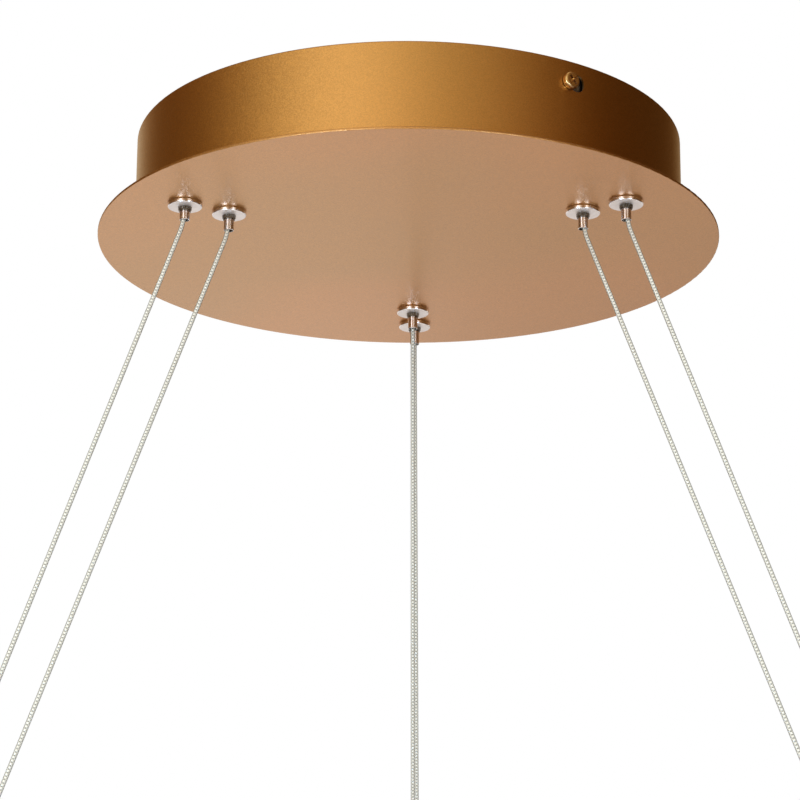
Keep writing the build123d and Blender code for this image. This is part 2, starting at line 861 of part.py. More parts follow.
def make_driver_lid():
    plate = Box(driver_length, driver_width, lid_thickness, align=low_align)
    plate = fillet(plate.edges().filter_by(Axis.Z), driver_round)
    plate = fillet(plate.edges().group_by(Axis.Z)[-1], lid_round)
    lip_length = driver_length - 2 * driver_wall - 2 * fit_gap
    lip_width = driver_width - 2 * driver_wall - 2 * fit_gap
    lip = Box(lip_length, lip_width, lid_lip_height, align=high_align)
    lip -= Box(lip_length - 2 * lid_lip_wall, lip_width - 2 * lid_lip_wall, lid_lip_height * 2 + overrun)
    return Pos(driver_x, driver_y, disc_top + driver_height - lid_thickness) * (plate + lip)


def make_board():
    length = driver_length - 2 * driver_wall - 2 * board_gap
    width = driver_width - 2 * driver_wall - 2 * board_gap
    return Pos(driver_x, driver_y, board_low) * Box(length, width, board_thickness, align=low_align)


def on_board(x, y, piece):
    return Pos(driver_x + x, driver_y + y, board_top) * piece


def make_driver_terminals():
    block = Box(driver_terminal_depth, driver_terminal_width, driver_terminal_height, align=low_align)
    hole_radius = output_wire_radius + loose_gap
    for y in (-driver_terminal_pitch / 2, driver_terminal_pitch / 2):
        hole = Rot(0, 90, 0) * Cylinder(hole_radius, driver_terminal_depth + overrun)
        block -= Pos(0, y, driver_terminal_level) * hole
    reach = (driver_length - driver_terminal_depth) / 2
    return [on_board(side * reach, 0, block) for side in (-1, 1)]


def make_transformer():
    """A core of three legs and two yokes, and the winding round its middle leg."""
    core = Box(transformer_length, transformer_width, transformer_height, align=low_align)
    window_length = (transformer_length - core_leg) / 2 - core_side
    window_height = transformer_height - 2 * core_yoke
    window = Box(window_length, transformer_width + overrun, window_height, align=low_align)
    window_x = (core_leg + window_length) / 2
    for side in (-1, 1):
        core -= Pos(side * window_x, 0, core_yoke) * window
    outer_length = core_leg + 2 * (window_length - fit_gap)
    outer_width = transformer_width + 2 * winding_overhang
    winding_height = window_height - 2 * fit_gap
    winding = Box(outer_length, outer_width, winding_height, align=low_align)
    winding -= Box(core_leg + 2 * fit_gap, transformer_width + 2 * fit_gap, transformer_height * 2)
    winding = Pos(0, 0, core_yoke + fit_gap) * winding
    return [on_board(transformer_x, 0, core), on_board(transformer_x, 0, winding)]


def make_capacitors():
    can = Cylinder(capacitor_radius, capacitor_height, align=low_align)
    can = fillet(can.edges().filter_by(GeomType.CIRCLE), capacitor_round)
    places = [(x * driver_length / 2, y * driver_width / 2) for x, y in capacitor_places_share]
    return [on_board(x, y, can) for x, y in places]


def make_choke():
    section = Plane.XZ * Pos(choke_radius, choke_wire_radius) * Circle(choke_wire_radius)
    return on_board(choke_x, 0, revolve(section, Axis.Z))


def make_heat_sink():
    foot = Box(heat_sink_length, heat_sink_foot, heat_sink_thickness, align=low_align)
    fin = Box(heat_sink_length, heat_sink_thickness, heat_sink_height, align=low_align)
    return on_board(heat_sink_x, 0, foot + fin)


# Leads
def make_mains_lead(name, corner_out, strip_y, driver_side):
    entry_x = mains_strip_x - strip_depth / 2 + strip_wire_depth
    corner_x = driver_left - corner_out
    end_x = driver_left + strip_wire_depth
    end_y = driver_y + driver_side * driver_terminal_pitch / 2
    route = [
        (entry_x, strip_y, strip_hole_z),
        (corner_x, strip_y, strip_hole_z),
        (corner_x, end_y, driver_hole_z),
        (end_x, end_y, driver_hole_z),
    ]
    return wire_along(name, route, mains_wire_radius, fitting_arcs(route))


def make_output_lead(name, corner_out, corner_back, pole, driver_side):
    start_x = driver_right - strip_wire_depth
    start_y = driver_y + driver_side * driver_terminal_pitch / 2
    corner_x = driver_right + corner_out
    corner_y = output_strip_front - corner_back
    pole_x = output_strip_x + strip_poles(output_strip_poles)[pole]
    entry_y = output_strip_front + strip_wire_depth
    route = [
        (start_x, start_y, driver_hole_z),
        (corner_x, start_y, driver_hole_z),
        (corner_x, corner_y, strip_hole_z),
        (pole_x, corner_y, strip_hole_z),
        (pole_x, entry_y, strip_hole_z),
    ]
    return wire_along(name, route, output_wire_radius, fitting_arcs(route))


def make_earth_lead():
    y = mains_strip_y - strip_pitch
    barrel_z = disc_top + earth_barrel_radius
    route = [
        (earth_stud_x + earth_barrel_start + fit_gap, y, barrel_z),
        (mains_strip_x - earth_bend_low_out, y, barrel_z),
        (mains_strip_x - earth_bend_high_out, y, strip_hole_z),
        (mains_strip_x - strip_depth / 2 + strip_wire_depth, y, strip_hole_z),
    ]
    return wire_along("earth lead", route, mains_wire_radius, fitting_arcs(route))


def make_earth_terminal():
    """A flat ring under the nut, with a barrel that is crimped on the lead."""
    ring = disc_plate(earth_ring_radius, m4_radius + bolt_gap, earth_ring_thickness)
    barrel = Rot(0, 90, 0) * Cylinder(earth_barrel_radius, earth_barrel_length, align=low_align)
    bore = Rot(0, 90, 0) * Cylinder(mains_wire_radius + fit_gap, earth_barrel_length + overrun, align=low_align)
    tongue_length = earth_barrel_start + earth_barrel_length - m4_radius - 2 * bolt_gap
    tongue = Box(tongue_length, earth_tongue_width, earth_ring_thickness, align=low_align)
    tongue_x = m4_radius + 2 * bolt_gap + tongue_length / 2
    terminal = ring + Pos(tongue_x, 0, 0) * tongue
    terminal += Pos(earth_barrel_start, 0, earth_barrel_radius) * barrel
    terminal -= Pos(earth_barrel_start, 0, earth_barrel_radius) * bore
    return Pos(earth_stud_x, mains_strip_y - strip_pitch, disc_top) * terminal


# Every node
write("mounting_bracket", make_bracket())
write("cable_bush", make_bush())
write("tab_nuts", *make_tab_nuts())
write("lock_screws", *make_lock_screws())
write("canopy_shell", make_shell())
write("base_disc", make_disc())
write("shell_lugs", *make_lugs())
write("disc_studs", *make_studs())
write("stud_washers", *make_stud_washers())
write("stud_nuts", *make_stud_nuts())
write("gland_bodies", *make_gland_bodies())
write("gland_rings", *make_gland_rings())
write("gland_caps", *make_gland_caps())
write("gland_washers", *make_gland_washers())
write("gland_nuts", *make_gland_nuts())
write("short_tails", *make_short_tails())
write("tail_stops", *make_tail_stops())
write("feed_tails", *make_feed_tails())
write("mains_strip", mains_strip_place * make_strip(mains_strip_poles))
write("output_strip", output_strip_place * make_strip(output_strip_poles))
write("terminal_screws", *make_terminal_screws())
write("driver_case", make_driver_case())
write("driver_lid", make_driver_lid())
write("driver_board", make_board())
write("driver_terminals", *make_driver_terminals())
write("driver_transformer", *make_transformer())
write("driver_capacitors", *make_capacitors())
write("driver_choke", make_choke())
write("driver_heat_sink", make_heat_sink())
write("live_lead", make_mains_lead("live lead", live_corner_out, mains_strip_y + strip_pitch, -1))
write("neutral_lead", make_mains_lead("neutral lead", neutral_corner_out, mains_strip_y, 1))
write(
    "output_leads",
    make_output_lead("outer output lead", outer_output_corner_out, outer_output_corner_back, 1, -1),
    make_output_lead("inner output lead", inner_output_corner_out, inner_output_corner_back, 0, 1),
)
write("earth_lead", make_earth_lead())
write("earth_terminal", make_earth_terminal())
write("cable_sleeves", *make_sleeves())
write("ring_studs", *make_ring_studs())

spring_low = head_top + spring_wire_radius + spring_end_gap
spring_high = cap_plug_low - spring_wire_radius - spring_end_gap
grip_spring = helix_wire(spring_radius, spring_wire_radius, spring_low, spring_high, spring_turns)
for gland in gland_places:
    write(f"plunger_{gland}", *make_plunger(gland))
    write(f"spring_{gland}", make_spring(gland, grip_spring))
    route = cable_route(gland)
    write(f"suspension_cable_{gland}", wire_along(f"cable {gland}", route, cable_radius, [mouth_arc_radius]))

print(f"canopy twist from rest to the keyhole's entry: {twist_range:.2f} degrees")
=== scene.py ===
# %% [markdown]
# # LED pendant light seen from below
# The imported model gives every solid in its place. This notebook gives the solids their finishes, draws
# the six cables as a braid in a clear sheath and the six springs as coils, and lights all of it like a
# studio picture on white. Lengths are in metres, the ceiling is z = 0 and the canopy hangs below it.
# Angles are in degrees.

import json
import math

import bpy
import numpy as np
from mathutils import Matrix, Vector


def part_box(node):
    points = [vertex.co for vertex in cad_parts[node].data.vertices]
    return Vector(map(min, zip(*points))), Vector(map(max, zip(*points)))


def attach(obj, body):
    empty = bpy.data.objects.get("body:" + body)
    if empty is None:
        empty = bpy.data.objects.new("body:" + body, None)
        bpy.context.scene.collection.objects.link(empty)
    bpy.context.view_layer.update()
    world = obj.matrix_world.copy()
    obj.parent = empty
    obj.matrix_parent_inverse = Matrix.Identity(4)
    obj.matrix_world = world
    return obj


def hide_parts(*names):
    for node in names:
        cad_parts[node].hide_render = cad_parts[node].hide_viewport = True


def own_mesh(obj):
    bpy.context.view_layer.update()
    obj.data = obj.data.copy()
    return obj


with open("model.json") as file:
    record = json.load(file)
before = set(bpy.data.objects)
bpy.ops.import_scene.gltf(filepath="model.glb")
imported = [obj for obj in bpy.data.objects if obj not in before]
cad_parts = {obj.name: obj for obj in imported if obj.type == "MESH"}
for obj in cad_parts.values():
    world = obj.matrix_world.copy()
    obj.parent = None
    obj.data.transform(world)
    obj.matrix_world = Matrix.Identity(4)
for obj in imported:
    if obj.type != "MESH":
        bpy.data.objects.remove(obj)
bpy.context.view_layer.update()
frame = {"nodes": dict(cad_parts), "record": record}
nodes = frame["nodes"]
slot_of = {part["node"]: part["material_slot"] for part in frame["record"]["subparts"]}
scene = bpy.context.scene
print(len(nodes), "nodes in the frame")

# %% [markdown]
# People see such a lamp from the room, so the camera stands in front of it and below it, and looks up. A
# camera could be aimed at the canopy by a constraint, but that would leave no roll. Its place, its lens
# and its three turns are given instead. They come from the outlines of the disc, the drum and the glands
# in the photograph.

# %% Camera
image_side = 800
focal_in_pixels = 3099.7
sensor_width_in_mm = 36.0
camera_place = Vector((0.0, -1.41322, -0.56604))
camera_pitch = 17.204
camera_yaw = -0.146
camera_roll = 0.302

pitch, yaw, roll = (math.radians(a) for a in (camera_pitch, camera_yaw, camera_roll))
forward = Vector((math.sin(yaw) * math.cos(pitch), math.cos(yaw) * math.cos(pitch), math.sin(pitch)))
level_right = Vector((math.cos(yaw), -math.sin(yaw), 0.0))
level_up = level_right.cross(forward)
right = math.cos(roll) * level_right + math.sin(roll) * level_up
up = math.cos(roll) * level_up - math.sin(roll) * level_right
turn = Matrix((right, up, -forward)).transposed()

camera = bpy.data.objects.new("camera", bpy.data.cameras.new("camera"))
camera.data.sensor_width = sensor_width_in_mm
camera.data.lens = focal_in_pixels / image_side * sensor_width_in_mm
camera.matrix_world = Matrix.Translation(camera_place) @ turn.to_4x4()
scene.collection.objects.link(camera)
scene.camera = camera
print(f"lens {camera.data.lens:.1f} mm")

# %% [markdown]
# Each cable comes straight down the middle of its gland, bends over the rim of the gripping tube and runs
# straight and taut to its fitting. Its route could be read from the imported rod, but a mesh no longer
# knows its middle line. The same sizes as in the CAD source give the route's points again. It has one
# more point a few diameters below the rim, because the run from there on is straight.

# %% Cable routes
disc_low = -0.0503
flange_thickness = 0.0021
tube_reach = 0.0074
cable_radius = 0.0011
fitting_level = -0.348
sleeve_cable_depth = 0.00595
bend_diameters = 6
near_rim = bend_diameters * 2 * cable_radius

# For each cable: the radius and the azimuth of its gland, its tube's share of the reach, how far it leans
# from the vertical, and the azimuth that it leans to
cable_facts = {
    "left_outer": (0.1188, 208.5, 0.85, 19.95, 209.2),
    "left_inner": (0.096, 208.5, 1.0, 20.45, 209.2),
    "right_inner": (0.096, 328.5, 1.0, 21.35, 329.2),
    "right_outer": (0.1188, 328.5, 1.0, 20.9, 329.2),
    "rear_inner": (0.096, 88.5, 1.1, 20.6, 89.2),
    "rear_outer": (0.1188, 88.3, 1.22, 20.6, 88.5),
}


def gland_middle(radius, azimuth):
    """The middle of a gland, on the disc's low face. The azimuth is in radians."""
    return Vector((radius * math.cos(azimuth), radius * math.sin(azimuth), disc_low))


def cable_route(radius, azimuth, reach_share, lean, lean_azimuth):
    """The route's points: inside the gland, at the tube's mouth, a little below it, and in the fitting."""
    azimuth, lean, lean_azimuth = (math.radians(a) for a in (azimuth, lean, lean_azimuth))
    start = gland_middle(radius, azimuth)
    mouth = start - Vector((0, 0, flange_thickness + tube_reach * reach_share))
    slope = Vector((math.cos(lean_azimuth), math.sin(lean_azimuth), 0)) * math.sin(lean)
    direction = slope - Vector((0, 0, math.cos(lean)))
    run = (fitting_level - mouth.z) / direction.z + sleeve_cable_depth
    return [start, mouth, mouth + direction * near_rim, mouth + direction * run]


routes = {name: cable_route(*facts) for name, facts in cable_facts.items()}

# %% [markdown]
# On the real lamp each cable is a braid of tinned strands in a clear plastic sheath. One rod with a
# painted braid would be enough from afar, but the strands' shape and the darker edge of the clear skin
# would be missing. So a cable is two pieces. The sheath is the route's own smooth curve with a round
# section.

# %% Cable sheaths
curve_steps = 48
section_steps = 6
curve_order = 3


def route_curve(name, points, section_radius):
    """A smooth NURBS curve with these control points, with a round section if the radius isn't zero.
    The section is a unit circle times the points' own radius, by which Blender also widens the bounds."""
    data = bpy.data.curves.new(name, "CURVE")
    data.dimensions = "3D"
    data.resolution_u = curve_steps
    data.bevel_depth = 1.0 if section_radius else 0.0
    data.bevel_resolution = section_steps
    data.use_fill_caps = section_radius > 0
    spline = data.splines.new("NURBS")
    spline.points.add(len(points) - 1)
    for control, point in zip(spline.points, points):
        control.co = (*point, 1.0)
        control.radius = section_radius
    spline.order_u = curve_order
    spline.use_endpoint_u = True
    obj = bpy.data.objects.new(name, data)
    scene.collection.objects.link(obj)
    return obj


sheaths = {name: route_curve(f"sheath_{name}", route, cable_radius) for name, route in routes.items()}
print(len(sheaths), "sheaths")

# %% [markdown]
# The braids and the springs are surfaces worked out here. A surface like theirs is a grid of points: rows
# along the piece, columns round it. Joining the points by hand for each piece would repeat the same
# steps, so one helper makes a closed mesh of any such grid, with all faces outward, and lays out its two
# surface coordinates.

# %% Mesh from a grid


def new_piece(name, points, faces):
    """An object with a mesh of these points and faces, in the scene."""
    mesh = bpy.data.meshes.new(name)
    mesh.from_pydata(points.tolist(), [], faces)
    obj = bpy.data.objects.new(name, mesh)
    scene.collection.objects.link(obj)
    return obj


def closed_grid(name, grid, u_values):
    """A closed mesh from rows of points that go round an axis, with a fan of faces over each end.
    The grid is row by column by coordinate. U is a row's own value, and V goes from 0 to 1 round it."""
    rows, columns = grid.shape[:2]
    ends = np.stack([grid[0].mean(0), grid[-1].mean(0)])
    points = np.concatenate([grid.reshape(-1, 3), ends])
    r, c = np.meshgrid(np.arange(rows - 1), np.arange(columns), indexing="ij")
    here, above = r * columns, (r + 1) * columns
    after = (c + 1) % columns
    sides = np.stack([here + c, here + after, above + after, above + c], -1)
    ring = np.arange(columns)
    ring_after = (ring + 1) % columns
    last = (rows - 1) * columns
    low_fan = np.stack([ring_after, ring, np.full(columns, rows * columns)], -1)
    high_fan = np.stack([last + ring, last + ring_after, np.full(columns, rows * columns + 1)], -1)
    faces = [*sides.reshape(-1, 4).tolist(), *low_fan.tolist(), *high_fan.tolist()]
    obj = new_piece(name, points, faces)

    low_u, high_u = u_values[r], u_values[r + 1]
    low_v, high_v = c / columns, (c + 1) / columns
    side_uv = np.stack([low_u, low_v, low_u, high_v, high_u, high_v, high_u, low_v], -1).reshape(-1, 2)
    fan_v, fan_after_v = ring / columns, (ring + 1) / columns
    first_u, last_u = np.full(columns, u_values[0]), np.full(columns, u_values[-1])
    low_uv = np.stack([first_u, fan_after_v, first_u, fan_v, first_u, fan_v], -1).reshape(-1, 2)
    high_uv = np.stack([last_u, fan_v, last_u, fan_after_v, last_u, fan_v], -1).reshape(-1, 2)
    layer = obj.data.uv_layers.new(name="surface")
    layer.data.foreach_set("uv", np.concatenate([side_uv, low_uv, high_uv]).ravel().astype(np.float32))
    obj.data.polygons.foreach_set("use_smooth", np.ones(len(obj.data.polygons), bool))
    obj.data.update()
    return obj


print("a grid of points becomes a piece")

# %% [markdown]
# A braid's strands cross over and under each other. Single strands would need tens of thousands of tiny
# bends for a relief that is a tenth of a millimetre high. The braid is instead a thin tube whose surface
# swells where two families of strands, one wound to the left and one to the right, cross. It follows the
# same curve as the sheath, read back from the route without a section.

# %% Cable braids
braid_radius = 0.00088
braid_relief = 0.0001
braid_pitch = 0.00165
braid_strands = 2
rows_per_pitch = 8
braid_columns = 18
way_back = (0.0, 1.0, 0.0)


def path_points(points, spacing):
    """Points at even distances along the route's smooth curve, and the distance of each from the start."""
    guide = route_curve("guide", points, 0.0)
    mesh = bpy.data.meshes.new_from_object(guide)
    line = np.empty(len(mesh.vertices) * 3)
    mesh.vertices.foreach_get("co", line)
    line = line.reshape(-1, 3)
    bpy.data.objects.remove(guide)
    bpy.data.meshes.remove(mesh)
    along = np.concatenate([[0.0], np.cumsum(np.linalg.norm(np.diff(line, axis=0), axis=1))])
    wanted = np.linspace(0.0, along[-1], round(along[-1] / spacing))
    return np.stack([np.interp(wanted, along, line[:, i]) for i in range(3)], -1), wanted


def braid_grid(line, along):
    """Rings of points round the line: radius plus relief times the larger of two crossing waves.
    Each wave is the cosine of strands times the angle, plus or minus one turn for each pitch along it."""
    heading = np.gradient(line, axis=0)
    heading /= np.linalg.norm(heading, axis=1, keepdims=True)
    side = np.cross(heading, way_back)
    side /= np.linalg.norm(side, axis=1, keepdims=True)
    front = np.cross(heading, side)
    angle = np.arange(braid_columns) / braid_columns * 2 * np.pi
    phase = 2 * np.pi * along / braid_pitch
    left_wave = np.cos(braid_strands * angle[None, :] + phase[:, None])
    right_wave = np.cos(braid_strands * angle[None, :] - phase[:, None])
    radius = braid_radius + braid_relief * np.maximum(left_wave, right_wave)
    spokes = np.cos(angle)[None, :, None] * side[:, None] + np.sin(angle)[None, :, None] * front[:, None]
    return line[:, None] + radius[..., None] * spokes


braids = {}
for name, route in routes.items():
    line, along = path_points(route, braid_pitch / rows_per_pitch)
    braids[name] = closed_grid(f"braid_{name}", braid_grid(line, along), along / braid_pitch)
print({name: len(braid.data.polygons) for name, braid in braids.items()})

# %% [markdown]
# The lamp hangs on its cables, so they belong to the canopy. Each cable stands for the rod of its CAD
# node, which is hidden, and its braid goes with it.

# %% Cables on the canopy
for name, sheath in sheaths.items():
    for piece in (sheath, braids[name]):
        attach(piece, "canopy")
    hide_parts(f"suspension_cable_{name}")

# %% [markdown]
# Each gland holds a spring that pushes its gripping tube down, so that the balls stay wedged on the
# cable. The imported spring, a solid that keeps its length when the tube is pressed in, is hidden. Here
# it is a helix of round wire between the tube's head and the gland's cap.

# %% Springs
spring_radius = 0.00225
spring_wire_radius = 0.0002
spring_turns = 5
rows_per_turn = 32
rows_per_u = 4
wire_columns = 12
spring_low = 0.00745
spring_high = 0.01445
spring_rows = rows_per_turn * spring_turns + 1


def spring_grid():
    """Rings of points round a helix that stands on the disc's low face with its axis on Z.
    The helix is (r cos t, r sin t, even rise), and each ring is square to its heading."""
    turned = np.linspace(0, 2 * np.pi * spring_turns, spring_rows)[:, None]
    level = np.zeros_like(turned)
    out = np.concatenate([np.cos(turned), np.sin(turned), level], -1)
    line = out * spring_radius
    line[:, 2] = np.linspace(spring_low, spring_high, spring_rows)
    heading = np.concatenate([-np.sin(turned), np.cos(turned), level], -1) * spring_radius
    heading[:, 2] = (spring_high - spring_low) / (2 * np.pi * spring_turns)
    heading /= np.linalg.norm(heading, axis=1, keepdims=True)
    across = np.cross(heading, out)
    angle = np.linspace(0, 2 * np.pi, wire_columns, endpoint=False)[None, :, None]
    spokes = np.cos(angle) * out[:, None] + np.sin(angle) * across[:, None]
    return line[:, None] + spring_wire_radius * spokes


springs = {}
for name, (radius, azimuth, *_) in cable_facts.items():
    azimuth = math.radians(azimuth)
    foot = gland_middle(radius, azimuth)
    spring = closed_grid(f"coil_{name}", spring_grid(), np.arange(spring_rows) / rows_per_u)
    spring.data.transform(Matrix.Translation(foot) @ Matrix.Rotation(azimuth, 4, "Z"))
    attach(spring, "canopy")
    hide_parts(f"spring_{name}")
    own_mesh(spring)
    springs[name] = spring
print(len(springs), "springs")

# %% [markdown]
# Every finish is a material made of nodes. Wear and metallic paint come back in more than one of them, and
# building them anew each time would repeat dozens of nodes, so they are groups. A group gives only values:
# a colour, a roughness and a normal. The shader that uses them stays in each material. First come the
# helpers that add and feed nodes.

# %% Helpers for nodes


def feed(tree, node, **sockets):
    """Gives the node's inputs their constants, or their links from other sockets.
    An input goes by its name, with _ for a space, or by its number after a _."""
    for key, value in sockets.items():
        socket = node.inputs[int(key[1:]) if key[0] == "_" else key.replace("_", " ")]
        if isinstance(value, bpy.types.NodeSocket):
            tree.links.new(value, socket)
        else:
            socket.default_value = value


def add(tree, kind, settings=(), **sockets):
    """A node of this kind, with its settings and its inputs."""
    node = tree.nodes.new(f"ShaderNode{kind}")
    for key, value in dict(settings).items():
        setattr(node, key, value)
    feed(tree, node, **sockets)
    return node


def maths(tree, operation, *values):
    """The result of one sum on values or sockets."""
    sockets = {f"_{i}": value for i, value in enumerate(values)}
    return add(tree, "Math", {"operation": operation}, **sockets).outputs[0]


def vector_maths(tree, operation, *values, **sockets):
    """The result of one sum on vectors or their sockets."""
    sockets |= {f"_{i}": value for i, value in enumerate(values)}
    return add(tree, "VectorMath", {"operation": operation}, **sockets).outputs[0]


def between(tree, value, low, high, start=0.0, end=1.0):
    """A number that goes from low to high as the value goes from start to end."""
    ends = {"From_Min": start, "From_Max": end, "To_Min": low, "To_Max": high}
    return add(tree, "MapRange", Value=value, **ends).outputs["Result"]


def mixed(tree, factor, first, second, blend="MIX"):
    """A colour that goes from the first to the second as the factor goes from 0 to 1."""
    node = add(tree, "Mix", {"data_type": "RGBA", "blend_type": blend}, _0=factor, _6=first, _7=second)
    return node.outputs[2]


def noise(tree, place, scale, detail=4.0, roughness=0.55):
    """A smooth random value around one half."""
    return add(tree, "TexNoise", Vector=place, Scale=scale, Detail=detail, Roughness=roughness).outputs["Fac"]


def new_group(name, inputs):
    """An empty node group with these inputs that gives a colour, a roughness and a normal.
    It comes with the sockets that bring its inputs and the node that takes its outputs."""
    tree = bpy.data.node_groups.new(name, "ShaderNodeTree")
    for socket, kind, value in inputs:
        item = tree.interface.new_socket(name=socket, in_out="INPUT", socket_type=f"NodeSocket{kind}")
        if value is not None:
            item.default_value = value
    for socket, kind in (("Colour", "Color"), ("Roughness", "Float"), ("Normal", "Vector")):
        tree.interface.new_socket(name=socket, in_out="OUTPUT", socket_type=f"NodeSocket{kind}")
    return tree, tree.nodes.new("NodeGroupInput").outputs, tree.nodes.new("NodeGroupOutput")


relief_depth = 0.00005
print("fine relief is", relief_depth, "m deep")

# %% [markdown]
# No real surface is one flat colour. Handling, rolling and moulding leave broad clouds and a fine grain
# in it. An image of a worn surface would be fixed in size, so the first group works its wear out from
# noise: two colours mixed by a broad and a fine grain, a roughness between two limits and a slight
# unevenness of the surface.

# %% Worn surface group
broad_scale_share = 0.08
broad_share = 0.6
fine_share = 0.4
fine_detail = 6.0
blend_low = -0.8
blend_high = 1.8
smooth_below = 0.3
rough_above = 0.7

worn, worn_in, worn_out = new_group(
    "worn_surface",
    [
        ("Place", "Vector", None),
        ("Colour", "Color", (0.5, 0.5, 0.5, 1.0)),
        ("Second colour", "Color", (0.4, 0.4, 0.4, 1.0)),
        ("Grain scale", "Float", 400.0),
        ("Low roughness", "Float", 0.3),
        ("High roughness", "Float", 0.5),
        ("Relief", "Float", 0.1),
    ],
)
broad_scale = maths(worn, "MULTIPLY", worn_in["Grain scale"], broad_scale_share)
broad = noise(worn, worn_in["Place"], broad_scale)
fine = noise(worn, worn_in["Place"], worn_in["Grain scale"], fine_detail)
broad_part = maths(worn, "MULTIPLY", broad, broad_share)
grain = maths(worn, "ADD", broad_part, maths(worn, "MULTIPLY", fine, fine_share))
blend = between(worn, grain, blend_low, blend_high)
limits = worn_in["Low roughness"], worn_in["High roughness"]
relief = add(worn, "Bump", Strength=worn_in["Relief"], Distance=relief_depth, Height=fine)
feed(
    worn,
    worn_out,
    Colour=mixed(worn, blend, worn_in["Colour"], worn_in["Second colour"]),
    Roughness=between(worn, broad, *limits, smooth_below, rough_above),
    Normal=relief.outputs["Normal"],
)
print(len(worn.nodes), "nodes in the worn surface")

# %% [markdown]
# Metallic paint holds fine flakes that each lie and shine a little differently. Flakes could be real
# chips of mesh, but there are millions. The second group gives each cell of a fine random pattern its own
# brightness and its own tilt. Soft clouds in the colour and the faint orange peel of a sprayed coat are
# noise on a larger scale.

# %% Metallic paint group
flake_dim = 0.88
flake_bright = 1.14
flake_middle = (0.5, 0.5, 0.5)
cloud_scale = 9.0
cloud_detail = 3.0
cloud_dim = 0.95
cloud_bright = 1.05
patch_scale = 6.0
patch_detail = 1.0
patch_start = 0.42
patch_end = 0.62
first_tint = (1.03, 1.0, 1.04, 1.0)
second_tint = (0.93, 0.97, 1.0, 1.0)
peel_scale = 420.0
peel_detail = 2.0
glossy_paint = 0.29
duller_paint = 0.35

paint, paint_in, paint_out = new_group(
    "metallic_paint",
    [
        ("Place", "Vector", None),
        ("Colour", "Color", (0.5, 0.25, 0.05, 1.0)),
        ("Flake scale", "Float", 2600.0),
        ("Flake tilt", "Float", 0.07),
        ("Peel", "Float", 0.02),
    ],
)
flakes = add(paint, "TexVoronoi", Vector=paint_in["Place"], Scale=paint_in["Flake scale"]).outputs["Color"]
flake_value = add(paint, "SeparateColor", Color=flakes).outputs["Red"]
clouds = noise(paint, paint_in["Place"], cloud_scale, cloud_detail)
flake_light = between(paint, flake_value, flake_dim, flake_bright)
cloud_light = between(paint, clouds, cloud_dim, cloud_bright)
light = maths(paint, "MULTIPLY", flake_light, cloud_light)
patches = noise(paint, paint_in["Place"], patch_scale, patch_detail)
patch_tint = mixed(paint, between(paint, patches, 0.0, 1.0, patch_start, patch_end), first_tint, second_tint)
tinted = mixed(paint, 1.0, paint_in["Colour"], patch_tint, "MULTIPLY")

surface_normal = add(paint, "NewGeometry").outputs["Normal"]
off_middle = vector_maths(paint, "SUBTRACT", flakes, flake_middle)
flake_tilt = vector_maths(paint, "SCALE", off_middle, Scale=paint_in["Flake tilt"])
tilted = vector_maths(paint, "NORMALIZE", vector_maths(paint, "ADD", surface_normal, flake_tilt))
peel = noise(paint, paint_in["Place"], peel_scale, peel_detail)
peeled = add(paint, "Bump", Strength=paint_in["Peel"], Distance=relief_depth, Height=peel, Normal=tilted)
feed(
    paint,
    paint_out,
    Colour=vector_maths(paint, "SCALE", tinted, Scale=light),
    Roughness=between(paint, clouds, glossy_paint, duller_paint),
    Normal=peeled.outputs["Normal"],
)
print(len(paint.nodes), "nodes in the metallic paint")

# %% [markdown]
# Each material begins the same way, with a main shader, an output and the piece's own coordinates, so a
# helper makes that start. A colour is given as it looks on a screen, from 0 to 255, because that is how
# it is read from a picture, and it is turned into light values here.

# %% New materials


def screen(red, green, blue):
    """The light values of a colour as it looks on a screen, by the sRGB curve."""
    parts = [c / 255 for c in (red, green, blue)]
    return (*[c / 12.92 if c <= 0.04045 else ((c + 0.055) / 1.055) ** 2.4 for c in parts], 1.0)


finishes = {}


def new_material(name):
    """A new material among the finishes, given as its nodes, main shader, output and object coordinates."""
    finishes[name] = bpy.data.materials.new(name)
    finishes[name].use_nodes = True
    tree = finishes[name].node_tree
    tree.nodes.clear()
    shader = add(tree, "BsdfPrincipled")
    output = add(tree, "OutputMaterial", Surface=shader.outputs[0])
    place = add(tree, "TexCoord").outputs["Object"]
    return tree, shader, output, place


print("middle grey is", round(screen(128, 128, 128)[0], 3))

# %% [markdown]
# Most pieces are of one plain substance: zinc steel, nickel, brass, rubber, moulded plastic, copper or
# ferrite. Their materials could be built one by one, but they would differ only in their numbers. So one
# function makes them all from a table.

# %% Plain finishes


def worn_material(name, colour, second, roughness, grain, relief, metallic=0.0, coat=0.0):
    """A worn surface of one substance, from two screen colours, two limits of roughness, grain and relief."""
    tree, shader, _, place = new_material(name)
    surface = add(
        tree, "Group", {"node_tree": worn}, Place=place, Colour=screen(*colour),
        Second_colour=screen(*second), Grain_scale=grain, Relief=relief,
        Low_roughness=roughness[0], High_roughness=roughness[1],
    ).outputs
    feed(
        tree, shader, Base_Color=surface["Colour"], Roughness=surface["Roughness"], Normal=surface["Normal"],
        Metallic=metallic, Coat_Weight=coat,
    )


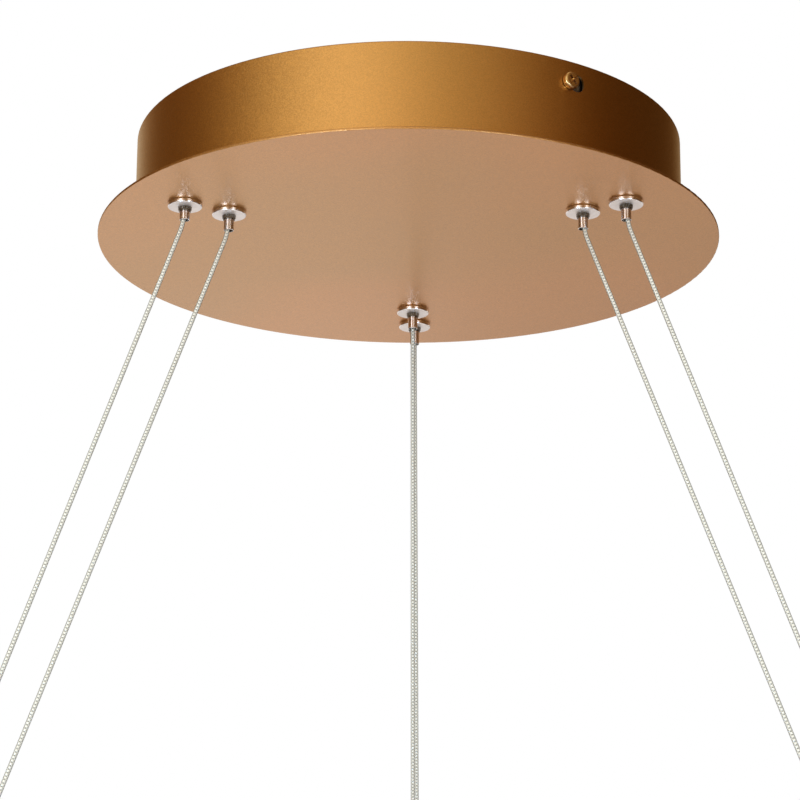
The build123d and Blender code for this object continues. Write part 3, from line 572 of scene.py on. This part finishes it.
# For each finish: its two colours, the limits of its roughness, its grain, its relief, metal and clear coat
finish_facts = {
    "zinc_steel": ((168, 170, 172), (140, 144, 150), (0.28, 0.5), 500.0, 0.15, 1.0),
    "nickel_plate": ((226, 216, 208), (206, 196, 188), (0.2, 0.32), 300.0, 0.06, 1.0),
    "screw_brass": ((214, 176, 122), (188, 146, 92), (0.24, 0.38), 500.0, 0.1, 1.0),
    # Painted shade: the bracket is the same zinc steel, made darker for the shade that it lies in
    "bracket_zinc": ((112, 114, 118), (86, 88, 94), (0.3, 0.5), 500.0, 0.15, 1.0),
    "knurled_nickel": ((128, 113, 96), (92, 80, 66), (0.25, 0.45), 900.0, 0.2, 1.0),
    "spring_steel": ((150, 150, 152), (110, 110, 114), (0.2, 0.35), 900.0, 0.1, 1.0),
    "rubber_bush": ((30, 30, 31), (44, 43, 42), (0.55, 0.8), 700.0, 0.3),
    "driver_white": ((232, 231, 226), (218, 216, 208), (0.4, 0.6), 1500.0, 0.25),
    "terminal_white": ((226, 222, 210), (208, 202, 188), (0.35, 0.5), 600.0, 0.1),
    "board_green": ((24, 92, 52), (14, 66, 38), (0.25, 0.45), 900.0, 0.2, 0.0, 0.3),
    "ferrite": ((58, 57, 58), (40, 39, 41), (0.6, 0.85), 1200.0, 0.4),
    "capacitor_sleeve": ((28, 32, 52), (18, 20, 34), (0.2, 0.35), 300.0, 0.05, 0.0, 0.4),
    "copper_winding": ((184, 104, 56), (140, 70, 34), (0.25, 0.4), 2500.0, 0.5, 0.8, 0.3),
    "sink_aluminium": ((186, 188, 190), (160, 163, 166), (0.3, 0.5), 900.0, 0.2, 1.0),
    "brown_lead": ((92, 52, 30), (74, 40, 22), (0.35, 0.5), 500.0, 0.05),
    "blue_lead": ((40, 88, 170), (28, 66, 140), (0.35, 0.5), 500.0, 0.05),
    "output_lead": ((46, 44, 44), (30, 29, 30), (0.35, 0.5), 500.0, 0.05),
    "brass_clamp": ((200, 164, 92), (160, 124, 62), (0.25, 0.4), 600.0, 0.15, 1.0),
}
for name, facts in finish_facts.items():
    worn_material(name, *facts)
print(len(finishes), "plain finishes")

# %% [markdown]
# Drum and disc are sprayed in a metallic gold under a clear coat. Polished brass would be simpler, but it
# would mirror the room far too sharply. The paint is a metal with the flakes' colour, roughness and tilt,
# and a coat over it. The disc is a little duller than the drum, and its gold is a little brighter and
# pinker, which is painted reflection of the white room below on the same paint.

# %% Gold paint
drum_gold = (0.52, 0.247, 0.056, 1.0)
# Painted reflection: the disc is the drum's gold paint, made a little brighter and pinker for the white it
# mirrors below
disc_gold_with_painted_reflection = (0.535, 0.253, 0.068, 1.0)
coat_weight = 0.5
coat_roughness = 0.22
disc_extra_roughness = 0.1


def paint_material(name, colour, extra_roughness):
    """Gold paint with flakes under a thin clear coat. Extra roughness makes it duller."""
    tree, shader, _, place = new_material(name)
    surface = add(tree, "Group", {"node_tree": paint}, Place=place, Colour=colour).outputs
    roughness = maths(tree, "ADD", surface["Roughness"], extra_roughness)
    feed(
        tree, shader, Base_Color=surface["Colour"], Roughness=roughness, Normal=surface["Normal"],
        Metallic=1.0, Coat_Weight=coat_weight, Coat_Roughness=coat_roughness + extra_roughness,
    )


paint_material("gold_paint", drum_gold, 0.0)
paint_material("disc_paint_with_painted_reflection", disc_gold_with_painted_reflection, disc_extra_roughness)
print("drum and disc have their paint")

# %% [markdown]
# A gland's flange is a turned and plated piece, polished on its walls and satin on the flat face that
# looks down. It could be cut into two pieces with a finish each. The way that the surface faces tells the
# two apart just as well, so one material adds roughness where it looks down.

# %% Nickel flanges
flange_light = (240, 230, 222)
flange_dark = (222, 212, 204)
flange_grain = 300.0
flange_relief = 0.06
flange_smooth = 0.16
flange_rough = 0.28
looks_down = -0.9
satin_extra_roughness = 0.3


def flange_material():
    """Nickel whose roughness grows where the normal's Z is under a limit."""
    tree, shader, _, place = new_material("flange_nickel")
    surface = add(
        tree, "Group", {"node_tree": worn}, Place=place, Colour=screen(*flange_light),
        Second_colour=screen(*flange_dark), Grain_scale=flange_grain, Relief=flange_relief,
        Low_roughness=flange_smooth, High_roughness=flange_rough,
    ).outputs
    height = add(tree, "SeparateXYZ", Vector=add(tree, "NewGeometry").outputs["Normal"]).outputs["Z"]
    face = maths(tree, "LESS_THAN", height, looks_down)
    roughness = maths(tree, "MULTIPLY_ADD", face, satin_extra_roughness, surface["Roughness"])
    feed(
        tree, shader, Base_Color=surface["Colour"], Roughness=roughness, Normal=surface["Normal"],
        Metallic=1.0,
    )


flange_material()
print("flanges are satin where the normal's Z is under", looks_down)

# %% [markdown]
# An earth lead is green with a yellow stripe along its side. The wire could get surface coordinates of
# its own, but it runs along X, so a level in Y through its middle parts the two colours well enough.

# %% Earth lead
lead_green = (60, 130, 50)
lead_yellow = (220, 200, 50)
lead_smooth = 0.35
lead_rough = 0.5
lead_relief = 0.05
insulation_wear = 0.15
earth_lead_y = sum(corner.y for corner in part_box("earth_lead")) / 2


def striped_material(name, colour, stripe, level):
    """Wire insulation with a stripe along the side of the wire that lies beyond this Y."""
    tree, shader, _, place = new_material(name)
    beyond = maths(tree, "GREATER_THAN", add(tree, "SeparateXYZ", Vector=place).outputs["Y"], level)
    striped = mixed(tree, beyond, screen(*colour), screen(*stripe))
    surface = add(
        tree, "Group", {"node_tree": worn}, Place=place, Low_roughness=lead_smooth, High_roughness=lead_rough,
        Relief=lead_relief,
    ).outputs
    shade = mixed(tree, insulation_wear, striped, surface["Colour"], "MULTIPLY")
    feed(tree, shader, Base_Color=shade, Roughness=surface["Roughness"], Normal=surface["Normal"])


striped_material("earth_lead", lead_green, lead_yellow, earth_lead_y)
print(f"the stripe begins at y = {earth_lead_y:.4f}")

# %% [markdown]
# The braid's strands are tin, with painted shade in the gaps between them and a painted highlight on
# the swells. A pattern on the object's coordinates would slip off the strands where the cable bends, so
# the colour is worked out from the braid's own surface coordinates, by the same two crossing waves as its
# shape.

# %% Braid material
# Painted shade for the gaps between strands, and the tin's own colour with a painted highlight on their
# swells
gap_painted_shade = (146, 146, 139)
bright_tin_painted_highlight = (240, 239, 230)
duller_tin_painted_highlight = (224, 223, 213)
gap_below = -1.6
strand_above = 0.6
strand_grain_scale = 1500.0
strand_smooth = 0.35
strand_rough = 0.55
strand_metallic = 0.1


def braid_material():
    """Tinned strands: painted shade in the gaps and a painted highlight on the swells, where the sum of the
    two waves is high.
    """
    tree, shader, _, place = new_material("cable_braid")
    surface = add(tree, "UVMap", {"uv_map": "surface"}).outputs["UV"]
    parts = add(tree, "SeparateXYZ", Vector=surface).outputs
    along_turns = maths(tree, "MULTIPLY", parts["X"], 2 * math.pi)
    round_turns = maths(tree, "MULTIPLY", parts["Y"], 2 * math.pi * braid_strands)
    waves = [maths(tree, "COSINE", maths(tree, way, round_turns, along_turns)) for way in ("ADD", "SUBTRACT")]
    # The swells get the painted highlight, the gaps the painted shade
    swell = between(tree, maths(tree, "ADD", *waves), 0.0, 1.0, gap_below, strand_above)
    strand_grain = noise(tree, place, strand_grain_scale)
    strand = mixed(tree, strand_grain, screen(*bright_tin_painted_highlight), screen(*duller_tin_painted_highlight))
    feed(
        tree, shader, Base_Color=mixed(tree, swell, screen(*gap_painted_shade), strand),
        Roughness=between(tree, strand_grain, strand_smooth, strand_rough), Metallic=strand_metallic,
    )


braid_material()
print("strands are bright from", strand_above, "up")

# %% [markdown]
# The sheath is soft clear plastic. Real refraction in so thin a skin would cost much light and show
# nothing, so it lets the light straight through and only adds a thin skin of reflection and a grey cover:
# a faint tint in front and painted shade towards the edges, where a clear tube looks darker.

# %% Sheath material
# A grey that is a faint tint in front and painted shade at the edges of the tube
sheath_tint_and_painted_shade = (104, 105, 98)
clear_tint = (250, 250, 249)
sheath_grain_scale = 600.0
sheath_smooth = 0.08
sheath_rough = 0.2
sheath_gloss = 0.15
cover_in_front = 0.04
cover_at_edge = 0.85
edge_start = 0.2
edge_end = 0.75


def sheath_material():
    """Clear soft plastic: mostly see-through, with more grey cover, as painted shade, where the surface turns
    away.
    """
    tree, shader, output, place = new_material("clear_sheath")
    roughness = between(tree, noise(tree, place, sheath_grain_scale), sheath_smooth, sheath_rough)
    feed(tree, shader, Base_Color=screen(*sheath_tint_and_painted_shade), Specular_IOR_Level=sheath_gloss, Roughness=roughness)
    clear = add(tree, "BsdfTransparent", Color=screen(*clear_tint))
    edge = add(tree, "LayerWeight", Blend=0.5).outputs["Facing"]
    cover = between(tree, edge, cover_in_front, cover_at_edge, edge_start, edge_end)
    both = add(tree, "MixShader", _0=cover, _1=clear.outputs[0], _2=shader.outputs[0])
    feed(tree, output, Surface=both.outputs[0])


sheath_material()
print("the sheath covers", cover_in_front, "to", cover_at_edge)

# %% [markdown]
# A CAD node comes with a slot that says what it is made of, and most finishes are named after those
# slots. A few pieces look a little different from others of the same slot and have a finish of their own.
# The bracket's darker zinc is painted shade, and the disc's brighter, pinker gold is painted reflection.

# %% Finishes on the pieces


def finish(obj, name):
    """This finish on the whole object, in place of any other."""
    obj.data.materials.clear()
    obj.data.materials.append(finishes[name])


own_finish = {
    # painted reflection: the drum's gold, brighter and pinker, and duller
    "base_disc": "disc_paint_with_painted_reflection",
    "gland_bodies": "flange_nickel",
    "gland_rings": "knurled_nickel",
    "lock_screws": "screw_brass",
    # painted shade: a darker zinc for the shade that the bracket lies in
    "mounting_bracket": "bracket_zinc",
}
for name, node in nodes.items():
    finish(node, own_finish.get(name, slot_of[name]))
for name in routes:
    finish(sheaths[name], "clear_sheath")
    finish(braids[name], "cable_braid")
    finish(springs[name], slot_of[f"spring_{name}"])
print(len(finishes), "finishes on", len(nodes) + 3 * len(routes), "pieces")

# %% [markdown]
# The studio has two kinds of light. Matt pieces are lit by two soft boxes, one on each side of the
# camera. They could light the metal too, but metal would show them as two hard rectangles. They are left
# out of reflections, and a wall of soft panels, made below, is there for those alone. The floor is plain
# pale paper, far below.

# %% Lamps and floor
floor_level = -2.8
floor_radius = 4.5
floor_corners = 96
canopy_middle = Vector((0.0, 0.0, disc_low))


def direction_from(azimuth, elevation):
    """A unit direction from the canopy. Azimuth 0 points to the camera's side, and grows to the right."""
    a, e = np.radians(azimuth), np.radians(elevation)
    return np.stack([np.sin(a) * np.cos(e), -np.cos(a) * np.cos(e), np.sin(e)], -1)


def soft_box(name, azimuth, elevation, distance, width, height, watts):
    """A rectangle of soft light that faces the canopy and isn't seen in reflections."""
    lamp = bpy.data.lights.new(name, "AREA")
    lamp.shape = "RECTANGLE"
    lamp.size, lamp.size_y = width, height
    lamp.energy = watts
    obj = bpy.data.objects.new(name, lamp)
    scene.collection.objects.link(obj)
    direction = Vector(direction_from(azimuth, elevation))
    obj.location = canopy_middle + direction * distance
    obj.rotation_euler = direction.to_track_quat("Z", "Y").to_euler()
    obj.visible_glossy = False


soft_box("soft_box_left", -40.0, 5.0, 1.8, 0.8, 0.9, 22.0)
soft_box("soft_box_right", 35.0, 0.0, 1.8, 0.6, 0.8, 12.0)

angles = np.arange(floor_corners) / floor_corners * 2 * np.pi
rim = [floor_radius * np.cos(angles), floor_radius * np.sin(angles), np.full(floor_corners, floor_level)]
floor = new_piece("floor", np.stack(rim, -1), [list(range(floor_corners))])
worn_material("floor_paper", (242, 239, 240), (236, 233, 234), (0.7, 0.9), 40.0, 0.05)
finish(floor, "floor_paper")
print("lamps and floor are in")

# %% [markdown]
# Gold paint and nickel look like what stands round them, so a photographer puts up bright panels and dark
# cloth. Here they are one curved wall, a part of a sphere round the canopy. It is brown and dim, with a
# broad bright panel on the left, a faint one further round, a weaker one on the right, two at the back,
# two narrow low ones for the walls of the glands and a soft one overhead. Behind and below hangs a grey
# card, which the disc's underside shows. Between the wall and the card the room is open and white. Each
# panel is a soft bump of brightness, with its own width in azimuth and height in elevation.

# %% Panels of the wall
wall_radius = 1.3
wall_dim = (0.085, 0.040, 0.010)
wall_bright = (1.27, 1.33, 1.18)
wall_power = (1.0, 1.25, 1.6)
card_dim = (0.32, 0.30, 0.295)
card_bright = (1.0, 0.95, 0.95)
card_power = (1.0, 1.0, 1.0)
cloth_scale = 6.0
cloth_dim = 0.92
cloth_bright = 1.08

# For each panel: azimuth, elevation, width, height and brightness at its middle
wall_panels = [
    (-26.5, 22.0, 41.5, 30.0, 1.1),
    (32.0, 22.0, 32.0, 30.0, 0.28),
    (-105.0, 22.0, 30.0, 30.0, 0.05),
    (-162.0, 18.0, 24.0, 30.0, 0.52),
    (172.0, 18.0, 20.0, 30.0, 0.45),
    (-29.0, -20.0, 10.0, 13.0, 7.0),
    (27.0, -20.0, 6.5, 13.0, 6.0),
    (0.0, 90.0, 400.0, 26.0, 0.75),
]
card_panels = [(182.0, -16.0, 20.0, 30.0, 0.2), (170.0, -40.0, 40.0, 14.0, 0.62)]


def total(tree, values):
    """The sum of all these values or sockets."""
    first, *others = values
    for value in others:
        first = maths(tree, "ADD", first, value)
    return first


def wall_material(name, panels, dims, brights, powers):
    """Glowing panels on a dim wall. A panel's glow is its brightness times exp(-(across**2 + along**2)).
    The colour goes from the dim one to the bright one as the glow grows, each channel with its own power."""
    tree, shader, _, place = new_material(name)
    x, y, z = add(tree, "SeparateXYZ", Vector=vector_maths(tree, "SUBTRACT", place, canopy_middle)).outputs
    azimuth = maths(tree, "DEGREES", maths(tree, "ARCTAN2", x, maths(tree, "MULTIPLY", y, -1.0)))
    elevation = maths(tree, "DEGREES", maths(tree, "ARCSINE", maths(tree, "DIVIDE", z, wall_radius)))
    glows = []
    for middle, level, width, height, brightness in panels:
        across = maths(tree, "DIVIDE", maths(tree, "SUBTRACT", azimuth, middle), width)
        along = maths(tree, "DIVIDE", maths(tree, "SUBTRACT", elevation, level), height)
        distance = maths(tree, "ADD", maths(tree, "POWER", across, 2.0), maths(tree, "POWER", along, 2.0))
        bump = maths(tree, "EXPONENT", maths(tree, "MULTIPLY", distance, -1.0))
        glows.append(maths(tree, "MULTIPLY", bump, brightness))
    cloth = between(tree, noise(tree, place, cloth_scale), cloth_dim, cloth_bright)
    glow = maths(tree, "MULTIPLY", total(tree, glows), cloth)
    channels = {
        channel: maths(tree, "MULTIPLY_ADD", maths(tree, "POWER", glow, power), bright, dim)
        for channel, dim, bright, power in zip(("Red", "Green", "Blue"), dims, brights, powers)
    }
    feed(
        tree, shader, Base_Color=(0.0, 0.0, 0.0, 1.0), Specular_IOR_Level=0.0, Emission_Strength=1.0,
        Emission_Color=add(tree, "CombineColor", **channels).outputs["Color"],
    )


wall_material("reflection_wall", wall_panels, wall_dim, wall_bright, wall_power)
wall_material("grey_card", card_panels, card_dim, card_bright, card_power)
print(len(wall_panels) + len(card_panels), "panels")

# %% [markdown]
# The front of the wall stands between the canopy and the camera, so it must not be seen, cast a shadow or
# light matt pieces. Blender can hide an object from each kind of ray by itself, so here only reflections
# meet the wall.

# %% Pieces of the wall
# For each piece: its finish, and the first, the last and the number of its azimuths and of its elevations
wall_facts = {
    "front_wall": ("reflection_wall", (-125, 125, 51), (-38, 89, 26)),
    "back_wall_left": ("reflection_wall", (-180, -125, 12), (2, 89, 18)),
    "back_wall_right": ("reflection_wall", (125, 180, 12), (2, 89, 18)),
    "grey_card": ("grey_card", (142, 179, 10), (-38, -10, 8)),
}


def wall_piece(name, azimuths, elevations):
    """A piece of a sphere round the canopy, as a grid of four-sided faces between these directions."""
    a, e = np.meshgrid(azimuths, elevations, indexing="ij")
    points = direction_from(a, e).reshape(-1, 3) * wall_radius + np.array(canopy_middle)
    rows, columns = a.shape
    r, c = np.meshgrid(np.arange(rows - 1) * columns, np.arange(columns - 1), indexing="ij")
    start = (r + c).ravel()
    faces = np.stack([start, start + 1, start + 1 + columns, start + columns], -1)
    obj = new_piece(name, points, faces.tolist())
    obj.visible_camera = obj.visible_diffuse = obj.visible_shadow = False
    return obj


walls = []
for name, (material, azimuths, elevations) in wall_facts.items():
    walls.append(wall_piece(name, np.linspace(*azimuths), np.linspace(*elevations)))
    finish(walls[-1], material)
print(len(walls), "pieces of the reflection wall")

# %% [markdown]
# The room is white all round, as on a catalogue page. A strength of 1 is white for the camera, but the
# same light on the pieces would wash them out. Light Path tells which ray asks: the camera's, the
# reflections' and those that went through something see white, and the light on everything else is a
# little weaker.

# %% World
world_fill = 0.92
world = bpy.data.worlds.new("white_room")
world.use_nodes = True
scene.world = world
room = world.node_tree
rays = add(room, "LightPath").outputs
seen = maths(room, "MAXIMUM", rays["Is Camera Ray"], rays["Is Glossy Ray"])
seen = maths(room, "MAXIMUM", seen, rays["Is Transmission Ray"])
white = (1.0, 1.0, 1.0, 1.0)
feed(room, room.nodes["Background"], Color=white, Strength=between(room, seen, world_fill, 1.0))
scene.view_settings.view_transform = "Standard"
print("studio ready")
